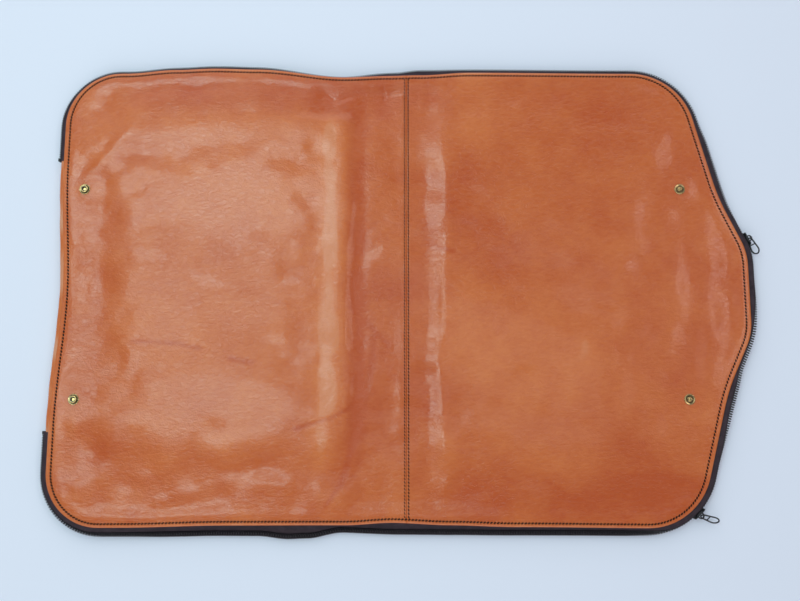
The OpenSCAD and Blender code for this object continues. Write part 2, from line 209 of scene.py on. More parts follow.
# Folds and creases: rise (or sink), half width, and the points that the line runs through
folds = [
    (-0.6, 9.0, [(-39, 207), (-31, 179), (-25, 140), (-23.5, 97), (-22, 44), (-22, -8), (-20, -49),
                 (-22, -89), (-29, -128), (-36, -157), (-45, -186), (-57, -210)]),
    (1.31, 10.0, [(-46, 180), (-44, 136), (-43, 98), (-43, 45), (-43, -7), (-44, -58), (-45, -108),
                 (-47, -147), (-55, -177)]),
    (-0.2, 3.9, [(-9, -45), (-9.6, -79), (-20, -124), (-39, -190), (-54, -212)]),
    (-0.15, 3.2, [(-31, -14), (-12, -34), (8, -57)]),
    (0.57, 5.0, [(66, 180), (65.5, 146), (66, 115), (68, 82), (69, 67), (65.5, 41), (64, 21), (64, -10),
                (65, -35), (56, -55), (55.6, -88), (61, -132), (63, -158)]),
    (1.03, 4.0, [(-246, 186), (-270, 158), (-289, 135.5), (-310, 112)]),
    (0.27, 8.5, [(-297, 84), (-297, 36), (-297, -9), (-292, -49), (-288, -84)]),
    (-0.92, 3.0, [(-70, 222), (-50, 205), (-28, 212)]),
    (-0.77, 1.6, [(2, 219), (3.5, 206)]),
    (0.28, 5.0, [(80, -154), (81, -172), (88, -187)]),
    (0.53, 4.0, [(67, -180), (61, -198)]),
    (0.68, 2.2, [(35, -206), (40, -216)]),
    (1.24, 9.0, [(20, -76), (20, -120), (18, -158)]),
    (-0.28, 1.2, [(-84, -138), (-50, -126), (-21, -111)]),
    (0.48, 7.0, [(-232, -213), (-180, -199), (-136, -183)]),
    (0.47, 6.0, [(-126, -189), (-100, -190), (-74, -195)]),
    (0.9, 9.0, [(224, 216), (252, 186), (274, 142), (290, 108)]),
    (1.7, 17.0, [(326, 75), (325, 10), (325, -50), (314, -115), (292, -165)]),
    (-0.17, 1.4, [(-250, -50), (-205, -54), (-180, -60)]),
    (-0.32, 1.4, [(-150, -70), (-128, -74)]),
    (-0.2, 1.8, [(50, 47), (58, 45), (72, 40)]),
    (0.9, 14, [(293, 60), (292, 0), (286, -60)]),
]
# Softer swells and hollows: rise (or sink), half width, and the two ends of the line, x and y
swells = [
    (1.28, 27, -107, 182, -240, 179), (-1.3, 16, -252, -194, -288, -143), (-1.3, 25, 109, 30, 162, 16),
    (0.92, 34, -232, 7, -88, 74), (1.3, 16, -115, -151, -150, -161), (0.6, 31, -115, 214, -210, 179),
    (-1.3, 16, -286, 9, -291, 73), (1.3, 15, 196, -53, 84, -4), (1.3, 23, 59, 141, 35, 178),
    (1.3, 30, -198, 62, -297, 137), (0.87, 12, -304, -42, -319, 7), (1.3, 34, -202, -74, -238, -47),
    (0.6, 31, -272, 174, -179, 215), (-0.96, 26, -68, -100, -87, -15), (-0.65, 14, -254, 146, -183, 137),
    (1.3, 31, -74, -213, -128, -239), (-1.03, 13, -135, -176, -41, -177), (1.3, 24, -172, -64, -198, 3),
    (0.79, 10, -291, 50, -358, 53), (-1.3, 17, 250, -37, 187, -11), (1.3, 31, 148, -289, 254, -106),
    (-1.3, 19, -233, -161, -230, -188), (-1.08, 29, -58, 126, -84, 137), (0.76, 11, -191, 113, -112, 150),
    (1.3, 13, -339, 100, -303, 206), (1.3, 27, -266, 179, -172, 182), (1.3, 18, 188, 68, 161, 89),
    (0.6, 34, -18, 38, -33, 47), (-1.3, 14, 80, -195, 74, -127),
]
# A fold fades over this share of its length at each end, to this share of its height
fold_fade = 1 / 6
fold_ends = 0.35
swell_lines = [(height, width, [(ax, ay), (bx, by)]) for height, width, ax, ay, bx, by in swells]
# Rolled rim along the sewn edge, where leather lies over tape: height, distance from the edge, half width
rim = (0.5, 9.0, 5.5)
# Waves of the hide: size of a wave, height and seed
waves = [(95, 1.3, 134), (44, 0.95, 151), (19, 0.55, 129), (10, 0.1, 14)]


def noise(x, y, cell, seed):
    """Smooth noise from -1 to 1, with waves about a cell wide, turned so that its lattice doesn't show."""
    side = 64
    lattice = np.random.default_rng(seed).uniform(-1, 1, (side, side))
    c, s = math.cos(seed), math.sin(seed)
    u, v = (c * x - s * y) / cell + side / 2, (s * x + c * y) / cell + side / 2
    i, j = np.floor(u).astype(int), np.floor(v).astype(int)
    a, b = u - i, v - j
    a, b = a**3 * (a * (6 * a - 15) + 10), b**3 * (b * (6 * b - 15) + 10)
    i, j = i % side, j % side
    k, m = (i + 1) % side, (j + 1) % side
    near = lattice[i, j] * (1 - a) + lattice[k, j] * a
    far = lattice[i, m] * (1 - a) + lattice[k, m] * a
    return near * (1 - b) + far * b


def soft_step(at, place, width):
    return eased((at - place) / width + 0.5)


def bell(distance, half_width):
    return np.exp(-((distance / half_width) ** 2))


def line_distance(x, y, points):
    """Distance of each point to a line through points, and how far along it that is, from 0 to 1."""
    best = np.full(x.shape, np.inf)
    along = np.zeros(x.shape)
    for i, ((ax, ay), (bx, by)) in enumerate(zip(points, points[1:])):
        dx, dy = bx - ax, by - ay
        t = np.clip(((x - ax) * dx + (y - ay) * dy) / (dx**2 + dy**2), 0, 1)
        d = np.hypot(x - ax - t * dx, y - ay - t * dy)
        along = np.where(d < best, (i + t) / (len(points) - 1), along)
        best = np.minimum(best, d)
    return best, along


def front_rise(x, y):
    """How far the front leather rises above its cut plane: boards, fold, creases and waves."""
    wander = 1.6
    xw = x + wander * noise(x, y, 30, 3)
    yw = y + wander * noise(x, y, 30, 4)
    rise = np.full(x.shape, settled)
    for step, ((left, left_width), (right, right_width), (bottom, bottom_width), (top, top_width)) in boards:
        rise += step * (
            soft_step(xw, through_knots(y, left), left_width)
            * soft_step(through_knots(y, right), xw, right_width)
            * soft_step(yw, through_knots(x, bottom), bottom_width)
            * soft_step(through_knots(x, top), yw, top_width)
        )
    first, last, sink, width = fold_sink
    rise += sink * soft_step(xw, first, width) * soft_step(last, xw, width)
    for height, half_width, points in folds + swell_lines:
        d, along = line_distance(xw, yw, points)
        fade = eased(along / fold_fade) * eased((1 - along) / fold_fade) if len(points) > 2 else 1
        rise += height * bell(d, half_width) * (fold_ends + (1 - fold_ends) * fade)
    for cell, height, seed in waves:
        rise += height * noise(x, y, cell, seed)
    return rise


highest_rise = 1.8
# The ridge beside the fold, which gets a pale painted highlight
highlight_ridge = [(-55, 180), (-54, 98), (-54, -7), (-56, -108), (-62, -170)]
# Places given painted shade, and painted sheen where the amount is below zero: middle, half sizes and how
# dark
shade_and_sheen_places = [
    (-135, 204, 115, 20, 0.4), (-26, 0, 10, 200, 0.35), (210, -203, 130, 24, 0.4), (98, 110, 36, 52, 0.3),
    (262, -160, 46, 42, 0.25), (244, 176, 40, 30, 0.2), (225, 10, 60, 30, 0.2), (150, -80, 70, 52, -0.22),
]

# Narrow creases get painted shade, and the edge and the ridge a pale painted sheen: how far, and over what
# width
crease_limit = 4.0
crease_shade = (0.55, 2.4)
edge_sheen = (0.3, 3.0)
ridge_sheen = (0.42, 11.0)
# Relief starts this far inside the edge, over this width; it also stops at the press studs
relief_start = (14.0, 18.0)
stud_flat = (6.0, 26.0)
# How far the cut edge is rounded down, how far the seam's allowances lift it and its joint dips, and widths
edge_round = (0.7, 1.6)
seam_lift = (0.3, 3.0, 9.0)
seam_dip = (0.6, 0.9)


def front_height(x, y):
    """Height of the face of the front leather."""
    inside = edge_distance(x, y)
    rise = front_rise(x, y) * soft_step(inside, *relief_start)
    rise += rim[0] * bell(inside - rim[1], rim[2])
    for px, py in socket_places + stud_places:
        rise *= eased((np.hypot(x - px, y - py) - stud_flat[0]) / stud_flat[1])
    rise -= edge_round[0] * np.clip(1 - inside / edge_round[1], 0, 1) ** 2
    from_seam = np.abs(x - seam_x)
    rise += seam_lift[0] * eased(1 - (from_seam - seam_lift[1]) / seam_lift[2])
    rise -= seam_dip[0] * np.clip(1 - from_seam / seam_dip[1], 0, 1) ** 2
    return front_z + np.where(rise > 0, highest_rise * np.tanh(rise / highest_rise), rise)


def front_wear_and_painted_light(x, y):
    """How pale the glaze is, from 0 to 1: random wear, a painted sheen on boards, ridges and along the edge,
    and painted shade in creases and dark places.
    """
    rise = front_rise(x, y)
    inside = edge_distance(x, y)
    # Random tone, with a paler painted sheen where the leather rises
    wear_and_light_tone = 0.5 + 0.06 * rise + 0.16 * noise(x, y, 48, 21) + 0.13 * noise(x, y, 17, 22)
    # A pale painted sheen along the sewn edge
    wear_and_light_tone += edge_sheen[0] * bell(inside, edge_sheen[1])
    # A pale painted highlight along the ridge
    wear_and_light_tone += ridge_sheen[0] * bell(line_distance(x, y, highlight_ridge)[0], ridge_sheen[1])
    # Painted shade along narrow creases
    for height, half_width, points in folds:
        if height < 0 and half_width < crease_limit:
            wear_and_light_tone -= crease_shade[0] * bell(line_distance(x, y, points)[0], crease_shade[1])
    # Painted shade at these places, or painted sheen where the amount is below zero
    for px, py, half_x, half_y, amount in shade_and_sheen_places:
        wear_and_light_tone -= amount * np.exp(-(((x - px) / half_x) ** 4) - ((y - py) / half_y) ** 4)
    return np.clip(wear_and_light_tone, 0, 1)


# The panels' grids are finest near the sewn edge and the seam
edge_band = 12.0
seam_band = 11.0
edge_insets = np.array([0, 0.3, 0.6, 1.0, 1.5, 2.1, 2.8, 3.4, 4.0, 4.8, 6.0, 8.0, 10.0])
row_count = 216
inner_rows = np.linspace(edge_band - half_height, half_height - edge_band, row_count)
panel_rows = np.concatenate([edge_insets - half_height, inner_rows, half_height - edge_insets[::-1]])


def left_edge(y):
    over = np.clip(np.abs(y) - left_centre[1], 0, left_corner)
    return left_centre[0] - np.sqrt(left_corner**2 - over**2)


def right_edge(y):
    right = upper_edge[upper_edge[:, 0] > 0][::-1]
    return np.interp(np.abs(y), right[:, 1], right[:, 0])


def spread(first, last, count):
    """count columns from first to last, without the last, where either may vary by row."""
    t = np.arange(count) / count
    return first + (last - first) * t


def add_object(name, data):
    obj = bpy.data.objects.new(name, data)
    scene.collection.objects.link(obj)
    return obj


def add_mesh(name, points, faces, materials, face_materials=None):
    """A mesh object from points in millimetres."""
    mesh = bpy.data.meshes.new(name)
    mesh.from_pydata((np.asarray(points, float) * MM).tolist(), [], faces)
    for material in materials:
        mesh.materials.append(material)
    if face_materials is not None:
        mesh.polygons.foreach_set("material_index", np.asarray(face_materials, np.int32))
    mesh.polygons.foreach_set("use_smooth", [True] * len(mesh.polygons))
    mesh.update()
    return add_object(name, mesh)


def add_values(obj, name, values):
    """Stores one value for each point of a mesh, for its material to read."""
    layer = obj.data.attributes.new(name, "FLOAT", "POINT")
    layer.data.foreach_set("value", np.asarray(values, np.float32))


def grid_faces(rows, columns, first=0, wrap=False):
    """Four-cornered faces of a grid of points; wrap joins the last column to the first."""
    i, j = np.meshgrid(np.arange(rows - 1), np.arange(columns if wrap else columns - 1), indexing="ij")
    k = (j + 1) % columns
    quads = np.stack([i * columns + j, i * columns + k, (i + 1) * columns + k, (i + 1) * columns + j], -1)
    return (quads.reshape(-1, 4) + first).tolist()


def add_panel(name, x, y, face, back, wear_and_light_tone, materials):
    """A leather panel between two faces over one grid: the grain side, the flesh side, and the cut edge."""
    rows, columns = x.shape
    lx, ly = lay(x, y)
    upper = np.stack([lx, ly, face], -1).reshape(-1, 3)
    lower = np.stack([lx, ly, back], -1).reshape(-1, 3)
    count = rows * columns
    outer = grid_faces(rows, columns)
    inner = [q[::-1] for q in grid_faces(rows, columns, count)]
    index = np.arange(count).reshape(rows, columns)
    border = np.concatenate([index[0, :-1], index[:-1, -1], index[-1, :0:-1], index[:0:-1, 0]])
    ahead = np.roll(border, -1)
    walls = np.stack([border + count, ahead + count, ahead, border], -1).tolist()
    kinds = [0] * len(outer) + [1] * len(inner) + [2] * len(walls)
    obj = add_mesh(name, np.vstack([upper, lower]), outer + inner + walls, materials, kinds)
    obj.data.set_sharp_from_angle(angle=math.radians(55))
    # Wear for the material's tone, with painted shade and painted sheen on the front
    add_values(obj, "wear_and_painted_light", np.concatenate([wear_and_light_tone.ravel(), wear_and_light_tone.ravel()]))
    return obj


def hex_colour(code):
    """An sRGB hex colour as linear RGBA."""
    parts = [int(code[i:i + 2], 16) / 255 for i in (1, 3, 5)]
    linear = [p / 12.92 if p <= 0.04045 else ((p + 0.055) / 1.055) ** 2.4 for p in parts]
    return (*linear, 1)


def link(output, socket):
    socket.id_data.links.new(output, socket)


def add_node(material, kind, settings=None, **inputs):
    """Outputs of a new shader node with its settings and its inputs, each a value or another's output.

    An input goes by its name, or by its number after a low line.
    """
    node = material.node_tree.nodes.new(kind)
    for key, value in (settings or {}).items():
        setattr(node, key, value)
    for key, value in inputs.items():
        socket = node.inputs[int(key[1:]) if key[1:].isdigit() else key.replace("_", " ")]
        if isinstance(value, bpy.types.NodeSocket):
            link(value, socket)
        else:
            socket.default_value = value
    return node.outputs


def new_material(name):
    material = bpy.data.materials.new(name)
    material.use_nodes = True
    return material, material.node_tree.nodes["Principled BSDF"]


def cells_per_metre(size_mm):
    return 1 / (size_mm * MM)


def speckled(name, cell_mm, dark, light, detail, grit=0.5):
    """A material of two colours in specks about cell_mm wide, with its shader, specks and colour."""
    material, shader = new_material(name)
    where = add_node(material, "ShaderNodeTexCoord")["Object"]
    specks = add_node(material, "ShaderNodeTexNoise", Vector=where, Scale=cells_per_metre(cell_mm),
                      Detail=detail, Roughness=grit)["Fac"]
    colour = add_node(material, "ShaderNodeMix", {"data_type": "RGBA"},
                      _0=specks, _6=hex_colour(dark), _7=hex_colour(light))[2]
    link(colour, shader.inputs["Base Color"])
    return material, shader, specks, colour


# Glazed calf leather: dyed tan, rolled to a gloss and waxed, so broad soft highlights lie on it.
# The dye is uneven, with painted shade in creases and dark places and a pale painted sheen on ridges, edges
# and the gusset; the grain is fine pebbles, ticks and wrinkles.
patch_mm = 55
mottle_mm = 7
tick_mm = 2.8
tick_squeeze = (0.45, 1, 1)
grain_mm = 1.5
wrinkle_mm = 4.5
wander_mm = 9
leather, leather_shader = new_material("glazed_tan_leather")
on_hide = add_node(leather, "ShaderNodeTexCoord")["Object"]
# These values carry wear, painted shade and painted sheen
wear_and_painted_light = add_node(leather, "ShaderNodeAttribute", {"attribute_name": "wear_and_painted_light"})["Fac"]
patch = add_node(leather, "ShaderNodeTexNoise", Vector=on_hide, Scale=cells_per_metre(patch_mm),
                 Detail=4.0, Roughness=0.55)["Fac"]
mottled = add_node(leather, "ShaderNodeTexNoise", Vector=on_hide, Scale=cells_per_metre(mottle_mm),
                   Detail=5.0, Roughness=0.6)
mottle, mottle_vector = mottled["Fac"], mottled["Color"]
along = add_node(leather, "ShaderNodeVectorMath", {"operation": "MULTIPLY"}, _0=on_hide, _1=tick_squeeze)[0]
ticks = add_node(leather, "ShaderNodeTexNoise", Vector=along, Scale=cells_per_metre(tick_mm),
                 Detail=2.0, Roughness=0.6, Distortion=0.4)["Fac"]
# Wear with painted shade and painted sheen, and the share of each pattern, set the tone of the dye
tone = wear_and_painted_light
for pattern, share in ((mottle, 0.3), (patch, 0.45), (ticks, 0.7)):
    tone = add_node(leather, "ShaderNodeMath", {"operation": "MULTIPLY_ADD"},
                    _0=pattern, _1=share, _2=tone)[0]
dye_and_light_share = add_node(leather, "ShaderNodeMapRange", Value=tone, From_Min=0.72, From_Max=1.72)[0]
dyed_with_painted_light = add_node(leather, "ShaderNodeMix", {"data_type": "RGBA"},
                _0=dye_and_light_share, _6=hex_colour("#b9501b"), _7=hex_colour("#d07338"))[2]
# Past 0.92 the colour turns pale: a painted sheen on ridges, edges and the gusset
pale_sheen = add_node(leather, "ShaderNodeMapRange", Value=wear_and_painted_light, From_Min=0.92, From_Max=1.4)[0]
colour = add_node(leather, "ShaderNodeMix", {"data_type": "RGBA"},
                  _0=pale_sheen, _6=dyed_with_painted_light, _7=hex_colour("#dcae8e"))[2]
link(colour, leather_shader.inputs["Base Color"])
grain = add_node(leather, "ShaderNodeTexVoronoi", {"feature": "SMOOTH_F1"}, Vector=on_hide,
                 Scale=cells_per_metre(grain_mm), Smoothness=0.4)["Distance"]
bent = add_node(leather, "ShaderNodeVectorMath", {"operation": "MULTIPLY_ADD"},
                _0=mottle_vector, _1=(wander_mm * MM,) * 3, _2=along)[0]
network = add_node(leather, "ShaderNodeTexVoronoi", {"feature": "DISTANCE_TO_EDGE"}, Vector=bent,
                   Scale=cells_per_metre(wrinkle_mm))["Distance"]
skin = add_node(leather, "ShaderNodeMapRange", Value=network, From_Min=0.0, From_Max=0.16)[0]
# Each bump lies on the one before it: height, strength and depth
normal = {}
for height, strength, depth_mm in ((ticks, 0.8, 0.5), (grain, 0.3, 0.22), (skin, 0.38, 0.25)):
    bump = add_node(leather, "ShaderNodeBump", Strength=strength, Distance=depth_mm * MM, Height=height,
                    **normal)
    normal = {"Normal": bump["Normal"]}
link(normal["Normal"], leather_shader.inputs["Normal"])
gloss = add_node(leather, "ShaderNodeMapRange", Value=mottle, To_Min=0.14, To_Max=0.25)[0]
link(gloss, leather_shader.inputs["Roughness"])
leather_shader.inputs["IOR"].default_value = 1.5
leather_shader.inputs["Coat Weight"].default_value = 0.3
leather_shader.inputs["Coat Roughness"].default_value = 0.12

# Flesh side of the hide: split and buffed, so it is matt, fibrous and paler than the glaze.
flesh, flesh_shader, fibres, _ = speckled("buffed_flesh_side", 1.2, "#7a4a2a", "#c89a72", 5.0, grit=0.7)
fluff = add_node(flesh, "ShaderNodeBump", Strength=0.5, Distance=0.3 * MM, Height=fibres)
link(fluff["Normal"], flesh_shader.inputs["Normal"])
flesh_shader.inputs["Roughness"].default_value = 0.9

# Cut edge of the hide: burnished by hand, so it is smooth, lighter and faintly layered.
cut_edge, cut_shader, _, _ = speckled("burnished_cut_edge", 2.5, "#7d4020", "#d89468", 4.0)
cut_shader.inputs["Roughness"].default_value = 0.55

hide = [leather, flesh, cut_edge]

# The front leather would bend tightly at the fold, just under the fold's axis; its grid is close across that
# bend's length
axis_z = [j for j in frame["joints"] if j["name"] == "fold"][0]["pos_m"][2] / MM
front_bend = math.pi / 2 * (axis_z - front_z)
bend_columns = np.linspace(-front_bend - 1.5, front_bend + 1.5, 22)
seam_insets = np.array([0, 0.3, 0.6, 0.9, 1.3, 1.8, 2.3, 2.8, 3.4, 4.2, 5.5, 7.0, 9.0])


def bend(obj):
    """Bakes the piece's placement into its mesh.
    """
    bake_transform(obj)


rows = panel_rows[:, None]


def every_row(columns):
    """The same columns for every row of a panel."""
    return np.broadcast_to(columns, (len(panel_rows), len(columns)))


def add_front(name, x):
    """A panel of the front, with its relief, wear, painted shade and painted sheen."""
    y = np.broadcast_to(rows, x.shape)
    face = front_height(x, y)
    return add_panel(name, x, y, face, face - leather_thick, front_wear_and_painted_light(x, y), hide)


left_x = np.hstack([
    left_edge(rows) + edge_insets,
    spread(left_edge(rows) + edge_band, bend_columns[0], 128),
    every_row(bend_columns),
    every_row(spread(bend_columns[-1] + 1, seam_x - seam_band, 6)),
    every_row(seam_x - seam_insets[::-1]),
])
front_left = add_front("front_leather_left", left_x)
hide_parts("front_cover_left", "front_fold_band")
bend(front_left)

# Front cover, nosed piece: the same leather from the seam to the nose, sewn to the left piece there.
# It is cut to the nose's outline and lies over the board of its half.
nose_x = np.hstack([
    every_row(seam_x + seam_insets),
    spread(seam_x + seam_band, right_edge(rows) - edge_band, 134),
    right_edge(rows) - edge_insets[::-1],
])
front_nose = add_front("front_leather_nose", nose_x)
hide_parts("front_cover_nose")
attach(front_nose, "nose_half")


# Back cover: one hide panel under the whole case, flat on the table, with its grain side down.
# It is cut to the same outline; its grid is close across the length of a wide round at the fold, far from the
# fold's axis.
# The round's length is drawn in to this share of a half circle
round_share = 0.6
back_bend = round_share * math.pi / 2 * axis_z
back_columns = np.linspace(-back_bend - 2, back_bend + 2, 30)
back_x = np.hstack([
    left_edge(rows) + edge_insets,
    spread(left_edge(rows) + edge_band, back_columns[0], 90),
    every_row(back_columns),
    spread(back_columns[-1] + 1.5, right_edge(rows) - edge_band, 100),
    right_edge(rows) - edge_insets[::-1],
])
back_y = np.broadcast_to(rows, back_x.shape)
back_inside = edge_distance(back_x, back_y)
back_stitch_inset = 3.5
stitch_bead = (1.15, 1.1)


def back_height(x, y, inside):
    """Height of the grain side of the back leather: on the table, but for shallow hollows and its edge."""
    hollow = 0.5 + 0.35 * noise(x, y, 70, 31) + 0.12 * noise(x, y, 24, 32) + 0.04 * noise(x, y, 11, 33)
    rise = np.clip(hollow, 0, 2) * soft_step(inside, 14, 16)
    rise += stitch_bead[0] * bell(inside - back_stitch_inset, stitch_bead[1])
    return rise + edge_round[0] * np.clip(1 - inside / edge_round[1], 0, 1) ** 2


back_face = back_height(back_x, back_y, back_inside)
back_rub = 0.45 + 0.3 * noise(back_x, back_y, 60, 34) + 0.15 * noise(back_x, back_y, 18, 35)
back_rub += 0.35 * bell(back_inside, 2.0)
back = add_panel("back_leather", back_x[:, ::-1], back_y, back_face[:, ::-1],
                 back_face[:, ::-1] + leather_thick, np.clip(back_rub[:, ::-1], 0, 1), hide)
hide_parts("back_cover_left", "back_cover_nose")
bend(back)

# Spine gusset: a narrow strip of the same leather that closes the left edge between the zip's ends.
# Each long side is sewn under a cover, and the strip bows out between them.
gusset_low, gusset_high = node_box("spine_gusset")
gusset_half = gusset_high[1]
gusset_bow = -left_reach - gusset_low[0]
gusset_thick = 1.2
gusset_flange = gusset_high[0] + left_reach
gusset_over = 0.8
gusset_flare = -0.8
gusset_rows = np.linspace(-gusset_half - gusset_over, gusset_half + gusset_over, 150)
gusset_turn = np.radians(np.linspace(90, 270, 17))
gusset_round = (inner_z - leather_thick) / 2


def gusset_profile(radius):
    """Points [out from the edge, height] from the front flange round to the back one."""
    out = gusset_bow - gusset_round - radius * np.cos(gusset_turn)
    return np.vstack([
        [-gusset_flange, middle_z + radius],
        np.column_stack([out, middle_z + radius * np.sin(gusset_turn)]),
        [-gusset_flange, middle_z - radius],
    ])


gusset_ring = np.vstack([gusset_profile(gusset_round), gusset_profile(gusset_round - gusset_thick)[::-1]])
flare_start = 40.0
gusset_y, ring_out = np.meshgrid(gusset_rows, gusset_ring[:, 0], indexing="ij")
ring_z = np.broadcast_to(gusset_ring[:, 1], ring_out.shape)
ripple = 0.35 * noise(gusset_y, ring_z * 4, 16, 41)
flare = gusset_flare * eased((np.abs(gusset_y) - flare_start) / (gusset_half - flare_start))
gusset_x = -left_reach - ring_out - (ripple + flare) * np.clip(ring_out / gusset_bow, 0, 1)
gusset_points = np.stack([*lay(gusset_x, gusset_y), ring_z], -1).reshape(-1, 3)
ring_size = len(gusset_ring)
gusset_faces = grid_faces(len(gusset_rows), ring_size, wrap=True)
for first in (0, (len(gusset_rows) - 1) * ring_size):
    cap = [[first + k, first + k + 1, first + ring_size - 2 - k, first + ring_size - 1 - k]
           for k in range(ring_size // 2 - 1)]
    gusset_faces += cap if first else [q[::-1] for q in cap]
gusset = add_mesh("spine_gusset_strip", gusset_points, gusset_faces, hide[:1])
gusset.data.set_sharp_from_angle(angle=math.radians(50))
# The whole strip takes the pale painted sheen, with a little random variation
add_values(gusset, "wear_and_painted_light", 1.0 + 0.2 * noise(gusset_points[:, 1], gusset_points[:, 2] * 3, 20, 42))
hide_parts("spine_gusset")
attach(gusset, "left_half")

# Zip tape: two long woven polyester tapes, one sewn under the edge of each cover.
# They run from one end of the gusset round the whole case to the other, and carry the teeth.
chain_reach = 6.0
closed_gap = 0.3
row_height = 2.25
row_thick = 2.2
zip_end = gusset_half + 3.5
zip_first = run_near(-left_reach, zip_end)
zip_last = edge_total - zip_first
nose_slider_angle = 24.0
corner_slider_angle = 45.0
upper_slider = run_near(*(nose_centre + nose_radius * unit(nose_slider_angle)))
lower_slider = run_near(*((flap_centre + flap_corner * unit(corner_slider_angle)) * [1, -1]))
nose_arc_end = run_near(nose_reach, nose_half_flat)
lower_arc = run_near(*((flap_centre + flap_corner * unit(shoulder_slope)) * [1, -1]))
slider_half_length = 6.75
slider_passage = 13.5
mouth_ramp = 18.0
passing_lift = 1.15
mouth_lift = 2.6
mouth_first = nose_arc_end + slider_passage
mouth_last = lower_arc - slider_passage
mouth_lifts = [
    (0, 0), (upper_slider - slider_half_length, 0), (upper_slider, passing_lift), (mouth_first, passing_lift),
    (mouth_first + mouth_ramp, mouth_lift), (mouth_last - mouth_ramp, mouth_lift), (mouth_last, passing_lift),
    (lower_slider, passing_lift), (lower_slider + slider_half_length, 0), (edge_total, 0),
]


def top_of(x):
    return run_near(x, half_height)


def bottom_of(x):
    return run_near(x, -half_height)


# How far the teeth lie out from the leather's edge, along the zip
reaches = [
    (0, 5.5), (zip_first + 30, 5.5), (zip_first + 80, 4.2), (top_of(-262), 3.2), (top_of(-150), 3.8),
    (top_of(-45), 1.4), (top_of(12), 4.5), (top_of(40), 6.6), (top_of(90), 4.6), (top_of(240), 4.6),
    (upper_slider - 135, 5.6), (upper_slider - 105, 7.6), (upper_slider - 70, 7.6),
    (upper_slider - 18, chain_reach), (mouth_first, chain_reach),
    (nose_arc_end + 40, chain_reach), (nose_arc_end + 75, 4.4), (nose_arc_end + 100, 4.8),
    (nose_arc_end + 128, 8.0), (lower_arc - 80, 8.4), (mouth_last, chain_reach),
    (lower_slider + slider_passage, chain_reach), (bottom_of(235), 6.7), (bottom_of(134), 7.1),
    (bottom_of(62), 8.5), (bottom_of(13), 10.3), (bottom_of(-38), 6.2), (bottom_of(-72), 11.6),
    (bottom_of(-90), 12.2), (bottom_of(-120), 9.2), (bottom_of(-180), 8.9), (bottom_of(-253), 8.2),
    (zip_last - 30, 6.6), (edge_total, 6.0),
]
# How far the chain leans over to lie flat, in degrees
leans = [
    (0, 0), (lower_slider + slider_passage, 0), (bottom_of(225), 45), (bottom_of(-200), 45),
    (bottom_of(-268), 12), (edge_total, 0),
]
# How much wider the coils are away from the sliders
row_extras = [
    (0, 0.6), (zip_first + 60, 0.6), (top_of(-262), 1.1), (upper_slider - 42, 1.4), (upper_slider - 20, 0),
    (nose_arc_end + 24, 0), (nose_arc_end + 75, 3.0), (lower_arc - 75, 3.0), (lower_arc - 24, 0),
    (lower_slider + 20, 0), (lower_slider + 50, 2.4), (bottom_of(-262), 2.4), (zip_last - 40, 0.6),
    (edge_total, 0.6),
]


def chain_section(s, side):
    """Middle of the front (1) or back (-1) row of teeth as [out, height], and the lean of the chain."""
    out = through_knots(s, reaches)
    lean = np.radians(through_knots(s, leans))
    rise = side * ((closed_gap + row_height) / 2 + np.interp(s, *zip(*mouth_lifts)))
    return out - rise * np.sin(lean), middle_z + rise * np.cos(lean), lean


def place(s, out, height):
    """Points in space from places along the edge, distances out from it and heights."""
    x, y, a = edge_at(s)
    px, py = lay(x + out * np.cos(a), y + out * np.sin(a))
    return np.stack([px, py, height], -1)


tape_thick = 0.6
tape_sewn = 6.0
# Where the tape leaves the leather, how far it runs in under the teeth and how far from their middle
tape_leaves = -0.2
tape_under = 0.6
tape_from_row = 1.25
# Places along its slope, and how thick it is there, as shares
slope_places = (0, 0.2, 0.45, 0.7, 0.88, 1.0)
thick_shares = (0.5, 0.5, 0.5, 0.5, 0.5, 0.5, 0.62, 0.45)
tape_first = run_near(-left_reach, gusset_half + 0.5)
tape_steps = np.linspace(tape_first, edge_total - tape_first, 1050)


def tape_ring(s, side):
    """Closed cross-section of a tape at each place s: sewn part, slope down to the teeth, and beaded edge."""
    row_out, row_z, lean = chain_section(s, side)
    start_z = middle_z + side * (inner_z - middle_z - tape_thick / 2)
    under = tape_under + (through_knots(s, row_extras) if side > 0 else 0)
    end_out = row_out - under * np.cos(lean) - side * np.sin(lean) * tape_from_row
    end_z = row_z + side * tape_from_row * np.cos(lean) - under * np.sin(lean)
    line = [(-tape_sewn, start_z), (-tape_sewn / 2, start_z)]
    for t in slope_places:
        line.append((tape_leaves + (end_out - tape_leaves) * t, start_z + (end_z - start_z) * eased(t)))
    upper = [(out, z + side * tape_thick * k) for (out, z), k in zip(line, thick_shares)]
    lower = [(out, z - side * tape_thick * k) for (out, z), k in zip(line, thick_shares)]
    return upper + lower[::-1]


def tube_faces(rings, sides):
    """Faces of a closed tube of rings, with its two ends."""
    ends = [list(range(sides - 1, -1, -1)), list(range((rings - 1) * sides, rings * sides))]
    return grid_faces(rings, sides, wrap=True) + ends


def sweep(name, s, ring, materials):
    """A mesh swept along the edge, with rings given as [(out, height), ...] and capped ends."""
    points = np.stack([place(s, out + 0 * s, z + 0 * s) for out, z in ring], 1)
    return add_mesh(name, points.reshape(-1, 3), tube_faces(*points.shape[:2]), materials)


